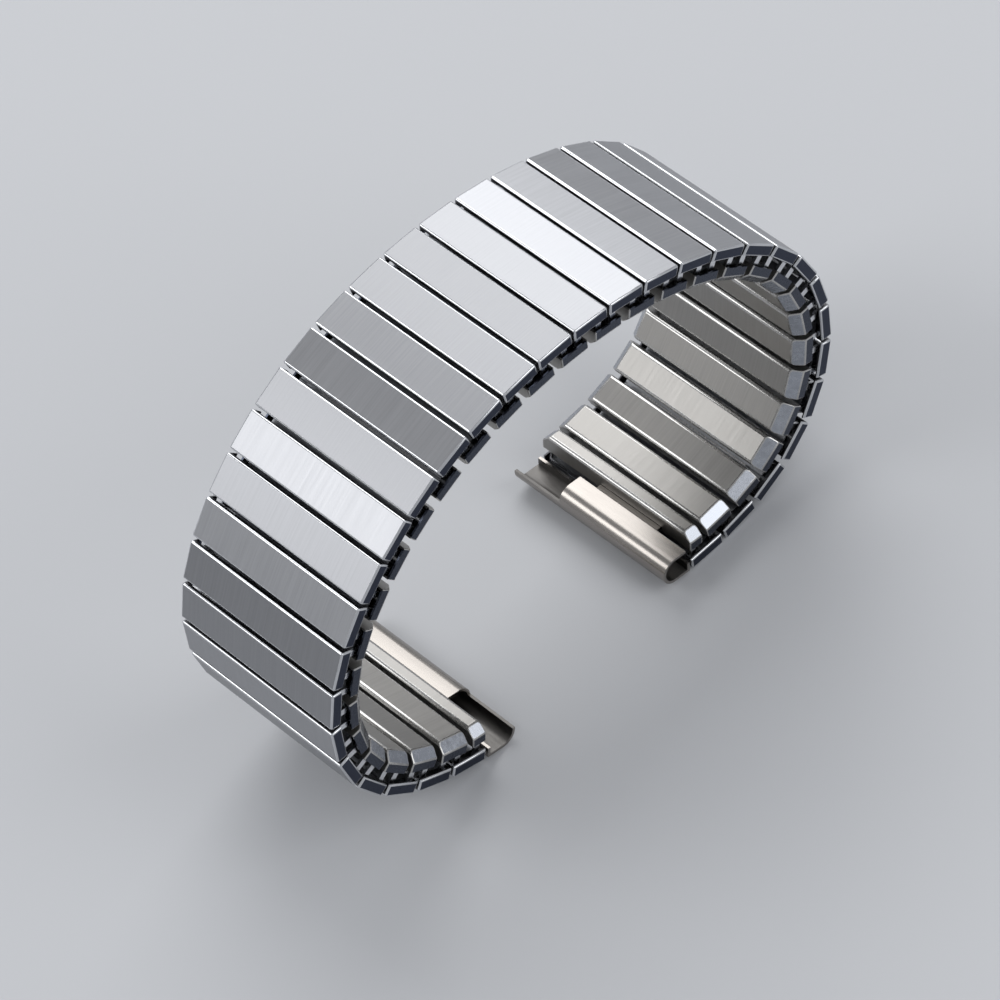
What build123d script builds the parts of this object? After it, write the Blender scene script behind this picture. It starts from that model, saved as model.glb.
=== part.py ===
from build123d import *
import os
from math import cos, radians, sin

# Expansion watch band: two rows of box links, offset by half a pitch and tied together by
# U-shaped staples, with a spring-bar channel at each end. It stands curled as on a wrist.
# Local frames: x along the band, y across it, z out of the wrist, zero midway between the rows.

# The whole band
band_width = 20.0
pitch = 4.27
row_gap = 1.1
running_gap = 0.1
seat_gap = 0.02
cut_over = 1.0

# How far the band turns at each of the 33 boundaries between outer covers, in degrees
turns = [5.0, 10.0, 14.0, 17.0, 17.5, 15.0, 13.5, 12.5, 11.0, 8.5, 7.5,
         7.5, 8.0, 7.5, 6.5, 6.0, 5.5, 6.0, 6.5, 7.0, 8.5, 10.0,
         12.0, 12.5, 13.0, 13.0, 14.0, 15.0, 16.0, 16.5, 14.5, 10.0, 8.0]
crown = 17
crown_heading = -8.6

# Outer cover: a folded lid with short skirts along the band's grooves and deep end flanges
groove = 0.2
cover_height = 1.25
cover_sheet = 0.3
cover_skirt = 0.15
cover_bevel = 0.18
corner_bevel = 0.15

# Inner shell: a deeper box, narrower than the pitch so that the rows can curl
shell_gap = 1.07
shell_height = 1.9
shell_sheet = 0.2
shell_bevel = 0.35
shell_end_bevel = 0.95
shell_set_in = 0.1
half_shell_width = 1.6
half_shell_start = 0.15

# Sleeves: folded tubes inside the covers and shells, with side openings at their mouths
outer_sleeve_wall = 0.15
inner_sleeve_wall = 0.12
sleeve_rise = 0.05
seam = 0.12

# Staples: flat U-shaped strips whose legs lie in one outer and one inner sleeve
staple_width = 0.65
staple_sheet = 0.3
staple_bridge = 0.35
staple_leg = 2.35
staple_offset = 0.9

# Leaf springs: bowed strips in the sleeves, between the staple legs
leaf_sheet = 0.12
leaf_width = 1.5
leaf_rise_share = 0.55
leaf_flat_share = 0.45

# End fitting: one sheet with a root wall, a plate, a rolled spring-bar channel and a return flange
end_sheet = 0.3
end_length = 3.5
bar_bore = 2.4
root_wall = 0.8
return_flange = 1.4
notch_share = 0.3
lip_height = 1.7
tab_width = 8.0
tab_reach = 0.5
tab_drop = 0.15
tab_shift_share = 0.1

# Derived sizes
cover_width = pitch - groove
shell_width = pitch - shell_gap
cover_top = row_gap / 2 + cover_height
inside_half = band_width / 2 - cover_sheet
staple_end = band_width / 2 - shell_set_in - shell_sheet - 2 * running_gap
sleeve_half = staple_end - staple_bridge - running_gap
leg_tip = staple_end - staple_leg
outer_sleeve_height = cover_height - cover_sheet - sleeve_rise - seat_gap
outer_sleeve_width = cover_width - 2 * (cover_sheet + seat_gap)
inner_sleeve_height = shell_height - shell_sheet - shell_bevel - sleeve_rise - seat_gap
inner_sleeve_width = shell_width - 2 * (shell_sheet + seat_gap)
upper_leg = row_gap / 2 + sleeve_rise + outer_sleeve_height / 2
lower_leg = -(row_gap / 2 + sleeve_rise + inner_sleeve_height / 2)
outer_seat = row_gap / 2 + sleeve_rise + outer_sleeve_wall
inner_floor = -(row_gap / 2 + sleeve_rise + inner_sleeve_height - inner_sleeve_wall)
bore_centre_x = end_length - end_sheet - bar_bore / 2
bore_centre_z = cover_top - end_sheet - bar_bore / 2


def span(x, y, z):
    """A box from its low and high limits along each axis."""
    size = [high - low for low, high in (x, y, z)]
    middle = [(high + low) / 2 for low, high in (x, y, z)]
    return Pos(*middle) * Box(*size)


def both(limit):
    """The two limits of a length laid evenly about zero."""
    return (-limit, limit)


def outer_cover():
    """Lid with bevelled edges; its skirts stop short so that staples can pass below them."""
    low = row_gap / 2
    body = span(both(cover_width / 2), both(band_width / 2), (low, cover_top))
    body = chamfer(body.edges().filter_by(Axis.Z), corner_bevel)
    body = chamfer(body.faces().sort_by(Axis.Z)[-1].edges(), cover_bevel)
    inside = both(cover_width / 2 - cover_sheet)
    body -= span(inside, both(inside_half), (low - cut_over, cover_top - cover_sheet))
    skirt_end = cover_top - cover_sheet - cover_skirt
    return body - span(both(cover_width), both(inside_half), (low - cut_over, skirt_end))


def bevelled_box(x, half, z):
    """Box with long bevels beside the skin and broad sloping bevels at its two ends."""
    body = span(x, both(half), z)
    body = chamfer(body.faces().sort_by(Axis.Z)[0].edges().filter_by(Axis.X), shell_end_bevel)
    return chamfer(body.faces().sort_by(Axis.Z)[0].edges().filter_by(Axis.Y), shell_bevel)


def inner_shell(low, high):
    """Deep box open towards the outer row, of one sheet all round."""
    length = band_width / 2 - shell_set_in
    top = -row_gap / 2
    foot = top - shell_height
    hollow = bevelled_box((low + shell_sheet, high - shell_sheet), length - shell_sheet,
                          (foot + shell_sheet, top + cut_over))
    return bevelled_box((low, high), length, (foot, top)) - hollow


def sleeve(width, low, high, wall, seam_side):
    """Folded tube with a seam, its side walls cut away around the staple legs."""
    body = span(both(width / 2), both(sleeve_half), (low, high))
    body -= span(both(width / 2 - wall), both(sleeve_half + cut_over), (low + wall, high - wall))
    for side in (-1, 1):
        mouth = sorted((side * (leg_tip - running_gap), side * (sleeve_half + cut_over)))
        body -= span(both(width), mouth, (low + wall, high - wall))
    slot = (low - cut_over, low + wall + seat_gap)
    if seam_side > 0:
        slot = (high - wall - seat_gap, high + cut_over)
    return body - span(both(seam / 2), both(sleeve_half + cut_over), slot)


def leaf_spring(low, room):
    """Bowed strip of three flats, lying on the sleeve's wall and arching towards the other."""
    reach = leg_tip - 2 * running_gap
    flat = reach * leaf_flat_share
    rise = (room - leaf_sheet) * leaf_rise_share
    base = low + seat_gap
    under = [(-reach, base), (-flat, base + rise), (flat, base + rise), (reach, base)]
    over = [(y, z + leaf_sheet) for y, z in reversed(under)]
    face = make_face(Plane.YZ * Polyline(*under, *over, close=True))
    return extrude(face, leaf_width / 2, both=True)


def staple(x, side):
    """U-shaped strip: a bridge beside the sleeve mouths and a leg into each of them."""
    width = (x - staple_width / 2, x + staple_width / 2)
    bridge = sorted((side * staple_end, side * (staple_end - staple_bridge)))
    legs = sorted((side * staple_end, side * leg_tip))
    body = span(width, bridge, (lower_leg - staple_sheet / 2, upper_leg + staple_sheet / 2))
    for middle in (lower_leg, upper_leg):
        body += span(width, legs, (middle - staple_sheet / 2, middle + staple_sheet / 2))
    return body


def outer_link():
    """Cover, sleeve and leaf spring of one outer link."""
    low = row_gap / 2 + sleeve_rise
    high = low + outer_sleeve_height
    room = outer_sleeve_height - 2 * outer_sleeve_wall
    return [outer_cover(),
            sleeve(outer_sleeve_width, low, high, outer_sleeve_wall, -1),
            leaf_spring(outer_seat, room)]


def inner_link():
    """Shell, sleeve, leaf spring and the four staples of one inner link."""
    high = -(row_gap / 2 + sleeve_rise)
    low = high - inner_sleeve_height
    room = inner_sleeve_height - 2 * inner_sleeve_wall
    pieces = [inner_shell(*both(shell_width / 2)),
              sleeve(inner_sleeve_width, low, high, inner_sleeve_wall, 1),
              leaf_spring(inner_floor, room)]
    for x in both(staple_offset):
        pieces += [staple(x, side) for side in (-1, 1)]
    return pieces


def end_profile():
    """Cross-section of the rolled sheet, from the root wall round to the return flange."""
    start = groove / 2
    inner_radius = bar_bore / 2
    outer_radius = inner_radius + end_sheet
    low = bore_centre_z - outer_radius
    plate = span((start, bore_centre_x), both(band_width / 2), (cover_top - end_sheet, cover_top))
    wall = span((start, start + end_sheet), both(band_width / 2),
                (cover_top - end_sheet - root_wall, cover_top))
    flange = span((bore_centre_x - return_flange, bore_centre_x), both(band_width / 2),
                  (low, low + end_sheet))
    centre = Pos(bore_centre_x, 0, bore_centre_z) * Rot(90, 0, 0)
    roll = centre * Cylinder(outer_radius, band_width)
    roll -= centre * Cylinder(inner_radius, band_width + cut_over)
    roll -= span((start, bore_centre_x), both(band_width), both(band_width))
    return plate + wall + flange + roll


def tab_limits():
    """Where the fitting's tab lies across the band."""
    middle = -band_width * tab_shift_share
    return (middle - tab_width / 2, middle + tab_width / 2)


def end_plate():
    """Rolled sheet with its notch, and the tab that hooks into the half shell."""
    body = end_profile()
    notch = (band_width * (1 - 2 * notch_share) / 2, band_width)
    body -= span((groove / 2 + end_sheet, band_width), notch,
                 (-band_width, cover_top - lip_height))
    start = groove / 2
    foot = -row_gap / 2 - tab_drop
    body += span((start, start + end_sheet), tab_limits(), (foot - end_sheet, cover_top))
    body += span((-half_shell_start - tab_reach, start), tab_limits(), (foot - end_sheet, foot))
    return body


def end_fitting():
    """Narrow shell with its slot for the tab, and the two staples that reach the last link."""
    shell = inner_shell(-half_shell_start - half_shell_width, -half_shell_start)
    low, high = tab_limits()
    foot = -row_gap / 2 - tab_drop
    slot = (-half_shell_start - half_shell_width / 2, half_shell_start)
    shell -= span(slot, (low - running_gap, high + running_gap),
                  (foot - end_sheet - running_gap / 2, foot + running_gap / 2))
    return [shell] + [staple(-staple_offset, side) for side in (-1, 1)]


def ahead(point, heading, distance):
    """A point moved along a heading in the X-Z plane."""
    turned = radians(heading)
    return (point[0] + distance * cos(turned), point[1] + distance * sin(turned))


def chain():
    """Centre and heading of every outer link, and point, heading and turn of every boundary."""
    outer = {crown: ((0, 0), crown_heading)}
    bound = {}
    for number in range(crown, 0, -1):
        point, heading = outer[number]
        edge = ahead(point, heading, -pitch / 2)
        turn = turns[number - 1]
        bound[number] = (edge, heading + turn / 2, turn)
        outer[number - 1] = (ahead(edge, heading + turn, -pitch / 2), heading + turn)
    for number in range(crown, len(turns)):
        point, heading = outer[number]
        edge = ahead(point, heading, pitch / 2)
        turn = turns[number]
        bound[number + 1] = (edge, heading - turn / 2, turn)
        outer[number + 1] = (ahead(edge, heading - turn, pitch / 2), heading - turn)
    return outer, bound


def frame(point, heading, inward=0):
    """Location of a local frame, sunk towards the wrist by a given distance."""
    x, z = ahead(point, heading - 90, inward)
    way = (cos(radians(heading)), 0, sin(radians(heading)))
    out = (-sin(radians(heading)), 0, cos(radians(heading)))
    return Plane(origin=(x, 0, z), x_dir=way, z_dir=out).location


def sink(turn):
    """How far an inner link lies inside its boundary, so that both its staples stay level."""
    return pitch / 4 * sin(radians(turn / 2))


def assemble():
    """Every node's solids, placed along the curled band."""
    outer, bound = chain()
    outer_pieces = outer_link()
    inner_pieces = inner_link()
    fitting = end_fitting()
    plate = end_plate()
    last = len(turns)
    nodes = {}
    for number in range(1, last):
        place = frame(*outer[number])
        nodes[f"outer_link_{number:02d}"] = [place * piece for piece in outer_pieces]
    for number in range(2, last):
        point, heading, turn = bound[number]
        place = frame(point, heading, sink(turn))
        nodes[f"inner_link_{number:02d}"] = [place * piece for piece in inner_pieces]
    for name, number, turned in (("a", 1, 180), ("b", last, 0)):
        point, heading, turn = bound[number]
        side = 1 if turned else -1
        place = frame(point, heading + side * turn / 2, sink(2 * turn)) * Rot(0, 0, turned)
        nodes[f"end_shell_{name}"] = [place * piece for piece in fitting]
        nodes[f"end_plate_{name}"] = [place * plate]
    return nodes


def merge(nodes):
    """Inner links that share a node with the outer link further from the crown."""
    for number in range(10, 23, 2):
        partner = number - 1 if number <= crown else number
        pieces = nodes.pop(f"inner_link_{number:02d}") + nodes.pop(f"outer_link_{partner:02d}")
        nodes[f"link_pair_{number:02d}"] = pieces
    return nodes


nodes = merge(assemble())
box = Compound([piece for pieces in nodes.values() for piece in pieces]).bounding_box()
to_origin = Pos(-(box.min.X + box.max.X) / 2, -(box.min.Y + box.max.Y) / 2, -box.min.Z)
os.makedirs("parts", exist_ok=True)
for name, pieces in nodes.items():
    placed = [to_origin * piece for piece in pieces]
    export_step(Compound(placed), f"parts/{name}.step")
print(len(nodes), "nodes", [round(v, 3) for v in (box.size.X, box.size.Y, box.size.Z)])
print("shift", [round(v, 4) for v in (box.min.X, box.max.X, box.min.Z)])
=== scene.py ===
from math import cos, pi, radians, sin

import bmesh
import bpy
from mathutils import Matrix, Vector


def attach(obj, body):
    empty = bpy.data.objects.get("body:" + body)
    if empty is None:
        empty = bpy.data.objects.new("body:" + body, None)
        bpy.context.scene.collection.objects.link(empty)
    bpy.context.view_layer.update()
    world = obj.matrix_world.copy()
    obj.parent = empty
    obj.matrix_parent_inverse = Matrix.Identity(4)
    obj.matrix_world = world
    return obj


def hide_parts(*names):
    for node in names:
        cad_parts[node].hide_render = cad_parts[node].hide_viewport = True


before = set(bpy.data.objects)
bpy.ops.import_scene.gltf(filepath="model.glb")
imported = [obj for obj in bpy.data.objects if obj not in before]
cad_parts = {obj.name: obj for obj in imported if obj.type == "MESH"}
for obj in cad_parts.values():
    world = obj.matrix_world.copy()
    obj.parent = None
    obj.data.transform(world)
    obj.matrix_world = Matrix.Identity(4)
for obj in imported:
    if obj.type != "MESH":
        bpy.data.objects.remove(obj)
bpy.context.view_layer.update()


# Outer covers. Each is a lid folded from stainless strip, brushed along the band, with its
# edges ground to a polished bevel. Short skirts run along the grooves and deep flanges close
# the two ends. It wraps its sleeve.
mm = 0.001
band_width = 20 * mm
pitch = 4.27 * mm
groove = 0.2 * mm
row_gap = 1.1 * mm
turns = [5.0, 10.0, 14.0, 17.0, 17.5, 15.0, 13.5, 12.5, 11.0, 8.5, 7.5,
         7.5, 8.0, 7.5, 6.5, 6.0, 5.5, 6.0, 6.5, 7.0, 8.5, 10.0,
         12.0, 12.5, 13.0, 13.0, 14.0, 15.0, 16.0, 16.5, 14.5, 10.0, 8.0]
crown = 17
crown_heading = -8.6
crown_place = Vector((5.9886 * mm, 0, 40.6715 * mm))
cover_width = pitch - groove
cover_height = 1.25 * mm
cover_sheet = 0.3 * mm
cover_skirt = 0.15 * mm
cover_bevel = 0.17 * mm
cover_top = row_gap / 2 + cover_height
near = mm / 100


def along(heading):
    return Vector((cos(radians(heading)), 0, sin(radians(heading))))


def chain():
    """Centre and heading of each outer link, and point, heading and turn of each boundary."""
    outer = {crown: (crown_place, crown_heading)}
    bound = {}
    for number in range(crown, 0, -1):
        point, heading = outer[number]
        edge = point - along(heading) * pitch / 2
        turn = turns[number - 1]
        bound[number] = (edge, heading + turn / 2, turn)
        outer[number - 1] = (edge - along(heading + turn) * pitch / 2, heading + turn)
    for number in range(crown, len(turns)):
        point, heading = outer[number]
        edge = point + along(heading) * pitch / 2
        turn = turns[number]
        bound[number + 1] = (edge, heading - turn / 2, turn)
        outer[number + 1] = (edge + along(heading - turn) * pitch / 2, heading - turn)
    return outer, bound


def place(point, heading, inward=0, turned=False):
    """Where a link's own frame lies: x along the band, y across it, z out of the wrist."""
    out = Vector((-sin(radians(heading)), 0, cos(radians(heading))))
    spot = Matrix.Translation(point - out * inward)
    spin = Matrix.Rotation(-radians(heading), 4, "Y")
    return spot @ spin @ Matrix.Rotation(pi if turned else 0, 4, "Z")


def sink(turn):
    return pitch / 4 * sin(radians(turn / 2))


def body_of_outer(number):
    """The body that outer link rides on; seven of them share one with an inner link."""
    partner = number + 1 if number < crown else number
    shared = partner in range(10, 23, 2) and number != crown
    return f"link_pair_{partner:02d}" if shared else f"outer_link_{number:02d}"


def body_of_inner(number):
    return f"link_pair_{number:02d}" if number in range(10, 23, 2) else f"inner_link_{number:02d}"


def box_mesh(low, high):
    """A box from its lowest to its highest corner."""
    bm = bmesh.new()
    bmesh.ops.create_cube(bm, size=1)
    bmesh.ops.scale(bm, vec=Vector(high) - Vector(low), verts=bm.verts)
    bmesh.ops.translate(bm, vec=(Vector(high) + Vector(low)) / 2, verts=bm.verts)
    return bm


def cut(bm, point, normal):
    """A loop of new edges where a plane crosses the mesh."""
    everything = bm.verts[:] + bm.edges[:] + bm.faces[:]
    bmesh.ops.bisect_plane(bm, geom=everything, dist=1e-7, plane_co=point, plane_no=normal)


def pull(bm, faces, way):
    """Extrudes faces along a vector."""
    grown = bmesh.ops.extrude_face_region(bm, geom=faces)
    corners = [item for item in grown["geom"] if isinstance(item, bmesh.types.BMVert)]
    bmesh.ops.translate(bm, vec=way, verts=corners)


def crease(bm, limit=32):
    """Smooth shading, kept crisp past an angle and where one finish meets another."""
    bm.normal_update()
    for face in bm.faces:
        face.smooth = True
    for edge in bm.edges:
        one_finish = len({face.material_index for face in edge.link_faces}) == 1
        gentle = edge.calc_face_angle(0) < radians(limit)
        edge.smooth = len(edge.link_faces) == 2 and one_finish and gentle


def piece(name, template, where, materials, body, nodes=()):
    """One placed piece made from a template mesh, riding on its CAD body."""
    mesh = bpy.data.meshes.new(name)
    template.to_mesh(mesh)
    mesh.transform(where)
    mesh.update()
    for material in materials:
        mesh.materials.append(material)
    item = bpy.data.objects.new(name, mesh)
    bpy.context.collection.objects.link(item)
    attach(item, body)
    if nodes:
        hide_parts(*nodes)
    return item


def metal(name, colour, roughness, specks, bump, shade=0.08, tone=0.0):
    """Steel whose colour, roughness and relief follow a stretched noise.

    specks gives the noise's scale along x, y and z, in cycles per metre.
    """
    material = bpy.data.materials.new(name)
    material.use_nodes = True
    nodes = material.node_tree.nodes
    links = material.node_tree.links
    shader = nodes["Principled BSDF"]
    shader.inputs["Metallic"].default_value = 1.0
    where = nodes.new("ShaderNodeTexCoord")
    stretch = nodes.new("ShaderNodeMapping")
    stretch.inputs["Scale"].default_value = specks
    grain = nodes.new("ShaderNodeTexNoise")
    grain.inputs["Scale"].default_value = 1.0
    grain.inputs["Detail"].default_value = 5.0
    grain.inputs["Roughness"].default_value = 0.6
    links.new(where.outputs["Object"], stretch.inputs["Vector"])
    links.new(stretch.outputs["Vector"], grain.inputs["Vector"])
    tint = nodes.new("ShaderNodeValToRGB")
    tint.color_ramp.elements[0].position = 0.3
    tint.color_ramp.elements[1].position = 0.7
    tint.color_ramp.elements[0].color = (*[c * (1 - shade) for c in colour], 1)
    tint.color_ramp.elements[1].color = (*[min(1, c * (1 + shade)) for c in colour], 1)
    links.new(grain.outputs["Fac"], tint.inputs["Fac"])
    polish = nodes.new("ShaderNodeMapRange")
    polish.inputs["From Min"].default_value = 0.3
    polish.inputs["From Max"].default_value = 0.7
    polish.inputs["To Min"].default_value = roughness[0]
    polish.inputs["To Max"].default_value = roughness[1]
    links.new(grain.outputs["Fac"], polish.inputs["Value"])
    links.new(polish.outputs["Result"], shader.inputs["Roughness"])
    relief = nodes.new("ShaderNodeBump")
    relief.inputs["Strength"].default_value = bump
    relief.inputs["Distance"].default_value = 0.00002
    links.new(grain.outputs["Fac"], relief.inputs["Height"])
    links.new(relief.outputs["Normal"], shader.inputs["Normal"])
    if tone:
        mark = nodes.new("ShaderNodeAttribute")
        mark.attribute_name = "tone"
        level = nodes.new("ShaderNodeMapRange")
        level.inputs["To Min"].default_value = 1 - tone
        level.inputs["To Max"].default_value = 1 + tone
        blend = nodes.new("ShaderNodeVectorMath")
        blend.operation = "SCALE"
        links.new(mark.outputs["Fac"], level.inputs["Value"])
        links.new(tint.outputs["Color"], blend.inputs[0])
        links.new(level.outputs["Result"], blend.inputs["Scale"])
        links.new(blend.outputs["Vector"], shader.inputs["Base Color"])
    else:
        links.new(tint.outputs["Color"], shader.inputs["Base Color"])
    return material


brushed_top = metal("cover_brushed_steel", (0.345, 0.35, 0.365), (0.38, 0.46),
                    (120, 6000, 120), 0.08, shade=0.07, tone=0.24)
bevel_polish = metal("cover_bevel_polish", (0.60, 0.61, 0.63), (0.16, 0.24),
                     (900, 2500, 900), 0.02, shade=0.04)
# The covers' end faces are coloured dark navy: a painted dark reflection, not a blued finish.
cover_end = metal("cover_end_painted_dark_reflection", (0.035, 0.042, 0.065), (0.26, 0.36),
                  (4000, 900, 2500), 0.12)
# The covers' sides along the grooves, their skirts and undersides are coloured near black: painted
# shade in the grooves and under the covers.
cover_flank = metal("cover_flank_painted_groove_shade", (0.07, 0.07, 0.075), (0.40, 0.55),
                    (2500, 900, 2500), 0.12)

slab_low = cover_top - cover_sheet - cover_skirt
cover = box_mesh((-cover_width / 2, -band_width / 2, slab_low),
                 (cover_width / 2, band_width / 2, cover_top))
for side in (-1, 1):
    cut(cover, (0, side * (band_width / 2 - cover_sheet), 0), (0, 1, 0))
under = [face for face in cover.faces if face.normal.z < -0.9]
pull(cover, [face for face in under if abs(face.calc_center_median().y) > band_width / 4],
     (0, 0, row_gap / 2 - slab_low))
cover.normal_update()
middle = [face for face in cover.faces
          if face.normal.z < -0.9 and abs(face.calc_center_median().y) < band_width / 4]
bmesh.ops.inset_region(cover, faces=middle, thickness=cover_sheet, use_even_offset=True)
pull(cover, middle, (0, 0, cover_skirt))
cover.normal_update()
corner_x = cover_width / 2 - near
corner_y = band_width / 2 - near
rim = [edge for edge in cover.edges if len(edge.link_faces) == 2 and edge.calc_face_angle(0) > 1
       and (all(v.co.z > cover_top - near for v in edge.verts)
            or all(abs(v.co.x) > corner_x and abs(v.co.y) > corner_y for v in edge.verts))]
rounded = bmesh.ops.bevel(cover, geom=rim, offset=cover_bevel, offset_type="OFFSET", segments=3,
                          profile=0.5, affect="EDGES", material=-1)
bmesh.ops.recalc_face_normals(cover, faces=cover.faces)
# Faces that are neither top nor end take the near-black flank colour, which is painted shade.
for face in cover.faces:
    face.material_index = 0 if face.normal.z > 0.9 else 2 if abs(face.normal.y) > 0.95 else 3
for face in rounded["faces"]:
    face.material_index = 1
crease(cover)
outer_places, bounds_of = chain()
for number in range(1, 33):
    item = piece(f"outer_cover_{number:02d}", cover, place(*outer_places[number]),
                 [brushed_top, bevel_polish, cover_end, cover_flank], body_of_outer(number),
                 [body_of_outer(number)])
    tone = item.data.attributes.new("tone", "FLOAT", "POINT")
    level = (number * 0.618 + 0.2 * sin(number * 1.7)) % 1
    tone.data.foreach_set("value", [level] * len(item.data.vertices))


# Outer sleeves. A thin folded tube with a seam sits inside each cover. Its side walls are cut
# away at both mouths, so that the staple legs can slide out when the band stretches.
sleeve_rise = 0.05 * mm
seat_gap = 0.02 * mm
running_gap = 0.1 * mm
seam = 0.12 * mm
outer_wall = 0.15 * mm
staple_bridge = 0.35 * mm
staple_leg = 2.35 * mm
staple_inset = 0.5 * mm
staple_end = band_width / 2 - staple_inset
sleeve_half = staple_end - staple_bridge - running_gap
leg_tip = staple_end - staple_leg
outer_sleeve_height = cover_height - cover_sheet - sleeve_rise - seat_gap
outer_sleeve_width = cover_width - 2 * (cover_sheet + seat_gap)


def drop(bm, test):
    """Removes the faces that a test picks by centre and normal."""
    bm.normal_update()
    gone = [face for face in bm.faces if test(face.calc_center_median(), face.normal)]
    bmesh.ops.delete(bm, geom=gone, context="FACES")


def sleeve_mesh(width, low, high, wall, seam_side):
    bm = box_mesh((-width / 2, -sleeve_half, low), (width / 2, sleeve_half, high))
    for side in (-1, 1):
        cut(bm, (0, side * (leg_tip - running_gap), 0), (0, 1, 0))
        cut(bm, (side * seam / 2, 0, 0), (1, 0, 0))
    drop(bm, lambda c, n: abs(n.y) > 0.9)
    drop(bm, lambda c, n: abs(n.x) > 0.9 and abs(c.y) > leg_tip - running_gap)
    drop(bm, lambda c, n: n.z * seam_side > 0.9 and abs(c.x) < seam / 4)
    bmesh.ops.solidify(bm, geom=bm.faces[:], thickness=wall)
    bmesh.ops.recalc_face_normals(bm, faces=bm.faces)
    crease(bm)
    return bm


sleeve_steel = metal("sleeve_mill_steel", (0.34, 0.35, 0.37), (0.30, 0.45),
                     (3000, 700, 3000), 0.2)
low = row_gap / 2 + sleeve_rise
outer_sleeve = sleeve_mesh(outer_sleeve_width, low, low + outer_sleeve_height, outer_wall, -1)
for number in range(1, 33):
    piece(f"outer_sleeve_{number:02d}", outer_sleeve, place(*outer_places[number]),
          [sleeve_steel], body_of_outer(number))


# Leaf springs. A bowed strip of spring steel lies in every sleeve between the staple legs. It
# presses the legs flat, which is what pulls the stretched band together again.
leaf_sheet = 0.12 * mm
leaf_width = 1.5 * mm
leaf_rise_share = 0.55


def leaf_mesh(floor, room):
    reach = leg_tip - 2 * running_gap
    bm = bmesh.new()
    bmesh.ops.create_grid(bm, x_segments=1, y_segments=8, size=0.5)
    bmesh.ops.scale(bm, vec=(leaf_width, 2 * reach, 1), verts=bm.verts)
    rise = (room - leaf_sheet) * leaf_rise_share
    for vert in bm.verts:
        vert.co.z = floor + seat_gap + rise * cos(vert.co.y / reach * pi / 2)
    grown = bmesh.ops.extrude_face_region(bm, geom=bm.faces[:], use_keep_orig=True)
    top = [item for item in grown["geom"] if isinstance(item, bmesh.types.BMVert)]
    bmesh.ops.translate(bm, vec=(0, 0, leaf_sheet), verts=top)
    bmesh.ops.recalc_face_normals(bm, faces=bm.faces)
    crease(bm)
    return bm


spring_steel = metal("leaf_spring_steel", (0.42, 0.41, 0.40), (0.22, 0.32),
                     (400, 5000, 400), 0.2)
outer_leaf = leaf_mesh(low + outer_wall, outer_sleeve_height - 2 * outer_wall)
for number in range(1, 33):
    piece(f"outer_leaf_{number:02d}", outer_leaf, place(*outer_places[number]),
          [spring_steel], body_of_outer(number))


# Inner shells. Each is a deeper box folded from thin sheet, satin where it lies on the skin,
# with rounded polished edges and two sloping ends, rubbed bright where they meet. It sits
# half a pitch off the covers, below the row gap.
shell_width = 3.2 * mm
shell_height = 1.9 * mm
shell_sheet = 0.2 * mm
shell_bevel = 0.35 * mm
shell_end_bevel = 0.95 * mm
shell_set_in = 0.1 * mm
shell_wear = 0.11 * mm


def shell_finish(normal):
    """Which of four finishes a face of the shell has: satin, polished edge, slope, and the end's
    painted dark reflection.
    """
    if abs(normal.y) > 0.995:
        return 2
    if abs(normal.x) > 0.99 or abs(normal.z) > 0.99:
        return 0
    return 3 if 0.7 < abs(normal.y) < 0.72 and abs(normal.x) < 0.01 else 1


def shell_mesh(start, end, slot=None):
    top = -row_gap / 2
    half = band_width / 2 - shell_set_in
    bm = box_mesh((start, -half, top - shell_height), (end, half, top))
    for axis, size, steps in ((0, shell_end_bevel, 1), (1, shell_bevel, 3)):
        foot = [edge for edge in bm.edges
                if all(v.co.z < top - shell_height + near for v in edge.verts)
                and abs(edge.verts[0].co[axis] - edge.verts[1].co[axis]) > mm]
        bmesh.ops.bevel(bm, geom=foot, offset=size, offset_type="OFFSET", segments=steps,
                        profile=0.5, affect="EDGES", material=-1)
    bm.normal_update()
    caps = {face for face in bm.faces if abs(face.normal.y) > 0.6}
    lip = [edge for edge in bm.edges if caps.intersection(edge.link_faces)
           and any(v.co.z < top - near for v in edge.verts)]
    bmesh.ops.bevel(bm, geom=lip, offset=shell_wear, offset_type="OFFSET", segments=2,
                    profile=0.5, affect="EDGES", material=-1)
    bm.normal_update()
    for face in bm.faces:
        face.material_index = shell_finish(face.normal)
    drop(bm, lambda c, n: n.z > 0.9)
    if slot:
        low, high, floor, roof = slot
        for y in (low, high):
            cut(bm, (0, y, 0), (0, 1, 0))
        for z in (floor, roof):
            cut(bm, (0, 0, z), (0, 0, 1))
        drop(bm, lambda c, n: n.x > 0.9 and low < c.y < high and floor < c.z < roof)
    bmesh.ops.solidify(bm, geom=bm.faces[:], thickness=shell_sheet)
    bmesh.ops.recalc_face_normals(bm, faces=bm.faces)
    crease(bm)
    return bm


satin = metal("shell_satin_steel", (0.30, 0.292, 0.28), (0.34, 0.44),
              (120, 5000, 120), 0.12, shade=0.08)
satin_edge = metal("shell_edge_polish", (0.47, 0.465, 0.455), (0.22, 0.30),
                   (900, 2500, 900), 0.02, shade=0.06)
# The shells' flat end faces are coloured dark navy: a painted dark reflection.
shell_end = metal("shell_end_painted_dark_reflection", (0.06, 0.068, 0.09), (0.24, 0.34),
                  (5000, 900, 4000), 0.10)
shell_slope = metal("shell_slope_polish", (0.38, 0.40, 0.44), (0.20, 0.32),
                    (2500, 700, 2500), 0.06, shade=0.12)
shell_finishes = [satin, satin_edge, shell_end, shell_slope]
inner_shell = shell_mesh(-shell_width / 2, shell_width / 2)
inner_places = {}
for number in range(2, 33):
    point, heading, turn = bounds_of[number]
    inner_places[number] = place(point, heading, sink(turn))
    nodes = [] if number in range(10, 23, 2) else [body_of_inner(number)]
    piece(f"inner_shell_{number:02d}", inner_shell, inner_places[number],
          shell_finishes, body_of_inner(number), nodes)


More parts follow.
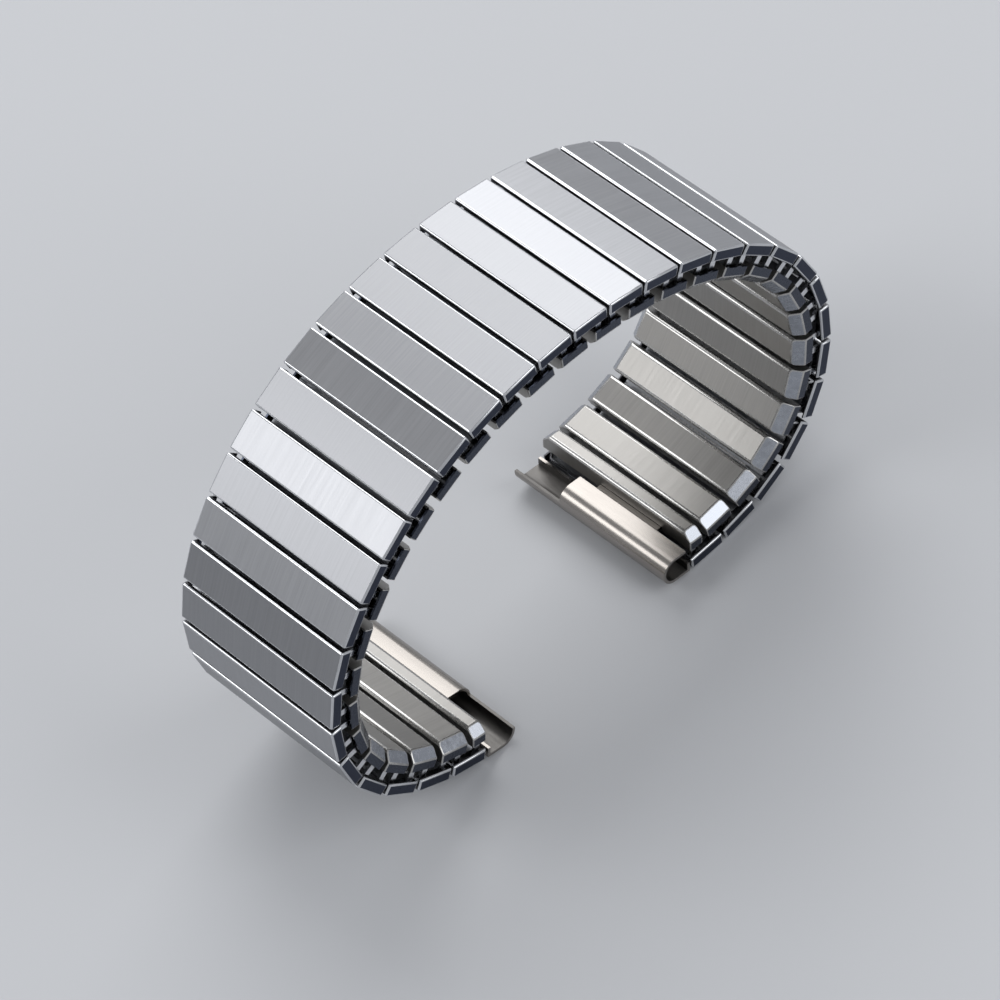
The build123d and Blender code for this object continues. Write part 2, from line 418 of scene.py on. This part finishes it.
# Inner sleeves and their leaf springs. The same folded tube and bowed strip as in the outer
# row, with the tube's seam turned to the row gap.
inner_wall = 0.12 * mm
inner_sleeve_height = shell_height - shell_sheet - shell_bevel - sleeve_rise - seat_gap
inner_sleeve_width = shell_width - 2 * (shell_sheet + seat_gap)
high = -(row_gap / 2 + sleeve_rise)
inner_sleeve = sleeve_mesh(inner_sleeve_width, high - inner_sleeve_height, high, inner_wall, 1)
inner_leaf = leaf_mesh(high - inner_sleeve_height + inner_wall,
                       inner_sleeve_height - 2 * inner_wall)
for number in range(2, 33):
    piece(f"inner_sleeve_{number:02d}", inner_sleeve, inner_places[number],
          [sleeve_steel], body_of_inner(number))
    piece(f"inner_leaf_{number:02d}", inner_leaf, inner_places[number],
          [spring_steel], body_of_inner(number))


# Staples. Flat strip bent into a U, its bridge bright at the side of the band and one leg in
# an outer and one in an inner sleeve. Four of them tie each inner link to its two neighbours.
staple_width = 0.65 * mm
staple_sheet = 0.3 * mm
staple_offset = 0.9 * mm
staple_bend = 0.22 * mm
upper_leg = row_gap / 2 + sleeve_rise + outer_sleeve_height / 2
lower_leg = -(row_gap / 2 + sleeve_rise + inner_sleeve_height / 2)


def staple_mesh(places):
    """U-strips of one link, each from a path of its outer side, swept across and thickened."""
    bm = bmesh.new()
    for x, side in places:
        path = [(leg_tip, upper_leg + staple_sheet / 2), (staple_end, upper_leg + staple_sheet / 2),
                (staple_end, lower_leg - staple_sheet / 2), (leg_tip, lower_leg - staple_sheet / 2)]
        verts = [bm.verts.new((x - staple_width / 2, side * y, z)) for y, z in path]
        edges = [bm.edges.new(pair) for pair in zip(verts, verts[1:])]
        swept = bmesh.ops.extrude_edge_only(bm, edges=edges)
        end = [item for item in swept["geom"] if isinstance(item, bmesh.types.BMVert)]
        bmesh.ops.translate(bm, vec=(staple_width, 0, 0), verts=end)
    bm.normal_update()
    for face in bm.faces:
        centre = face.calc_center_median()
        within = Vector((centre.x, centre.y * 0.9, 0))
        if (centre - within).dot(face.normal) < 0:
            face.normal_flip()
    bends = [edge for edge in bm.edges if len(edge.link_faces) == 2]
    bmesh.ops.bevel(bm, geom=bends, offset=staple_bend, offset_type="OFFSET", segments=2,
                    profile=0.5, affect="EDGES", material=-1)
    bmesh.ops.solidify(bm, geom=bm.faces[:], thickness=staple_sheet)
    bmesh.ops.recalc_face_normals(bm, faces=bm.faces)
    crease(bm)
    return bm


staple_steel = metal("staple_bright_steel", (0.66, 0.67, 0.69), (0.18, 0.28),
                     (2500, 1200, 600), 0.15)
four = [(x, side) for x in (-staple_offset, staple_offset) for side in (-1, 1)]
staples = staple_mesh(four)
for number in range(2, 33):
    piece(f"staples_{number:02d}", staples, inner_places[number],
          [staple_steel], body_of_inner(number))


# End plates. One polished sheet: a root wall, a flat plate, a rolled channel for the spring
# bar, a return flange cut back at one end, and a tab that hooks into the half shell.
end_sheet = 0.3 * mm
end_length = 3.5 * mm
bar_bore = 2.4 * mm
root_wall = 0.8 * mm
return_flange = 1.4 * mm
lip_height = 1.7 * mm
tab_width = 8 * mm
tab_reach = 0.5 * mm
tab_drop = 0.15 * mm
tab_middle = -0.1 * band_width
notch_start = 0.2 * band_width
half_shell_width = 1.6 * mm
half_shell_start = 0.15 * mm
bore_x = end_length - end_sheet - bar_bore / 2
bore_z = cover_top - end_sheet - bar_bore / 2
start = groove / 2
root_foot = cover_top - end_sheet - root_wall
roll = bar_bore / 2 + end_sheet

plate = bmesh.new()
corners = [plate.verts.new((x, -band_width / 2, z)) for x, z in
           ((start, root_foot), (start, cover_top), (bore_x, cover_top))]
for pair in zip(corners, corners[1:]):
    plate.edges.new(pair)
turned = bmesh.ops.spin(plate, geom=[corners[-1]], cent=(bore_x, 0, bore_z), axis=(0, 1, 0),
                        angle=pi, steps=18)
tip = [item for item in turned["geom_last"] if isinstance(item, bmesh.types.BMVert)][0]
flange = plate.verts.new((bore_x - return_flange, -band_width / 2, bore_z - roll))
plate.edges.new((tip, flange))
bmesh.ops.remove_doubles(plate, verts=plate.verts, dist=1e-7)
swept = bmesh.ops.extrude_edge_only(plate, edges=plate.edges[:])
bmesh.ops.translate(plate, vec=(0, band_width, 0),
                    verts=[item for item in swept["geom"] if isinstance(item, bmesh.types.BMVert)])
tab_low = tab_middle - tab_width / 2
tab_high = tab_middle + tab_width / 2
for y in (tab_low, tab_high, notch_start):
    cut(plate, (0, y, 0), (0, 1, 0))
cut(plate, (0, 0, cover_top - lip_height), (0, 0, 1))
drop(plate, lambda c, n: c.y > notch_start and c.z < cover_top - lip_height)
foot = -row_gap / 2 - tab_drop
hook = -tab_reach - half_shell_start - start
for way in ((0, 0, foot - root_foot), (hook, 0, 0)):
    edge_low = min(v.co.z for v in plate.verts if v.co.x < start + near)
    edge_back = min(v.co.x for v in plate.verts)
    ends = [edge for edge in plate.edges if len(edge.link_faces) == 1
            and all(abs(v.co.x - edge_back) < near and abs(v.co.z - edge_low) < near
                    for v in edge.verts)
            and tab_low < (edge.verts[0].co.y + edge.verts[1].co.y) / 2 < tab_high]
    grown = bmesh.ops.extrude_edge_only(plate, edges=ends)
    bmesh.ops.translate(plate, vec=way,
                        verts=[v for v in grown["geom"] if isinstance(v, bmesh.types.BMVert)])
bmesh.ops.recalc_face_normals(plate, faces=plate.faces)
plate.normal_update()
flat = [face for face in plate.faces if abs(face.normal.z) > 0.9
        and abs(face.calc_center_median().z - cover_top) < near]
if flat[0].normal.z < 0:
    bmesh.ops.reverse_faces(plate, faces=plate.faces)
bmesh.ops.solidify(plate, geom=plate.faces[:], thickness=end_sheet)
bmesh.ops.recalc_face_normals(plate, faces=plate.faces)
# Faces inside the roll, under the plate and on the root wall's inner face take the darker inside
# colour.
for face in plate.faces:
    middle, normal = face.calc_center_median(), face.normal
    in_roll = (middle.x - bore_x) ** 2 + (middle.z - bore_z) ** 2 < (roll - end_sheet / 2) ** 2
    below = normal.z < -0.9 and middle.z > cover_top - 2 * end_sheet
    behind = normal.x > 0.9 and middle.x < start + 2 * end_sheet
    face.material_index = 1 if (in_roll and abs(normal.y) < 0.5) or below or behind else 0
crease(plate, 40)
polished = metal("end_polished_steel", (0.31, 0.29, 0.27), (0.20, 0.28),
                 (1200, 160, 1200), 0.05, shade=0.10)
# The sheet's inner side is rougher than the polished outside. Its darker colour is painted shade
# inside the roll and under the plate.
inside = metal("end_inside_dull_steel_painted_shade", (0.13, 0.125, 0.12), (0.34, 0.48),
               (2500, 900, 2500), 0.12)
end_places = {}
for name, number, turned in (("a", 1, True), ("b", 33, False)):
    point, heading, turn = bounds_of[number]
    heading += (1 if turned else -1) * turn / 2
    end_places[name] = place(point, heading, sink(2 * turn), turned)
    piece(f"end_plate_{name}_sheet", plate, end_places[name], [polished, inside], f"end_{name}",
          [f"end_plate_{name}"])


# Half shells. A narrow inner shell beside each end plate, slotted for the plate's tab. Its two
# staples reach the last outer link.
slot = (tab_low - running_gap, tab_high + running_gap, foot - end_sheet - running_gap / 2,
        foot + running_gap / 2)
half_shell = shell_mesh(-half_shell_start - half_shell_width, -half_shell_start, slot)
end_staples = staple_mesh([(-staple_offset, side) for side in (-1, 1)])
for name in ("a", "b"):
    piece(f"half_shell_{name}", half_shell, end_places[name], shell_finishes,
          f"end_{name}", [f"end_shell_{name}"])
    piece(f"end_staples_{name}", end_staples, end_places[name], [staple_steel], f"end_{name}")


# Floor, lamps and world. A plain pale paper floor under soft studio light. The left and top
# softboxes show in the covers, the front one in the far shells' sloping ends.
ground = bmesh.new()
bmesh.ops.create_grid(ground, x_segments=1, y_segments=1, size=1.5)
bmesh.ops.translate(ground, vec=(0, 0, -0.02 * mm), verts=ground.verts)
mesh = bpy.data.meshes.new("floor")
ground.to_mesh(mesh)
floor = bpy.data.objects.new("floor", mesh)
bpy.context.collection.objects.link(floor)
paper = bpy.data.materials.new("floor_pale_paper")
paper.use_nodes = True
shade = paper.node_tree.nodes["Principled BSDF"]
shade.inputs["Base Color"].default_value = (0.52, 0.53, 0.55, 1)
shade.inputs["Roughness"].default_value = 0.7
mesh.materials.append(paper)


def lamp(name, way, distance, size, watts):
    """A softbox in a direction from the band, its first side following the band's curl."""
    light = bpy.data.lights.new(name, "AREA")
    light.shape = "RECTANGLE"
    light.size, light.size_y = size
    light.energy = watts
    item = bpy.data.objects.new(name, light)
    backward = Vector(way).normalized()
    across = Vector((backward.z, 0, -backward.x)).normalized()
    turned = Matrix((across, backward.cross(across), backward)).transposed().to_4x4()
    spot = backward * distance + Vector((0, 0, 30 * mm))
    item.matrix_world = Matrix.Translation(spot) @ turned
    bpy.context.collection.objects.link(item)


lamp_distance = 0.65
lamp("left_softbox", (-0.58, 0.52, 0.62), lamp_distance, (0.26, 0.45), 1.25)
lamp("top_softbox", (0.50, 0.52, 0.69), lamp_distance, (0.50, 0.45), 2.1)
lamp("front_softbox", (0.40, -0.70, 0.50), lamp_distance, (0.4, 0.4), 1.1)
world = bpy.data.worlds.new("studio")
bpy.context.scene.world = world
world.use_nodes = True
world.node_tree.nodes["Background"].inputs["Color"].default_value = (0.48, 0.49, 0.51, 1)
world.node_tree.nodes["Background"].inputs["Strength"].default_value = 1.0


# Camera. A long lens looks down on the band from its near side, rolled as in the photograph.
azimuth, elevation, roll_angle = radians(-31.193), radians(52.414), radians(16.896)
aim = Vector((-2.01, 0, 15.85)) * mm
distance = 0.55985
focal_pixels = 6103.94
photo_pixels = 1000
back = Vector((sin(azimuth) * cos(elevation), -cos(azimuth) * cos(elevation), sin(elevation)))
level = Vector((cos(azimuth), sin(azimuth), 0))
upward = back.cross(level)
right = cos(roll_angle) * level - sin(roll_angle) * upward
top = sin(roll_angle) * level + cos(roll_angle) * upward
lens = bpy.data.cameras.new("camera")
lens.sensor_width = 36
lens.lens = focal_pixels * lens.sensor_width / photo_pixels
lens.clip_start = 0.01
camera = bpy.data.objects.new("camera", lens)
facing = Matrix((right, top, back)).transposed().to_4x4()
camera.matrix_world = Matrix.Translation(aim + back * distance) @ facing
bpy.context.collection.objects.link(camera)
bpy.context.scene.camera = camera
bpy.context.scene.view_settings.view_transform = "Standard"
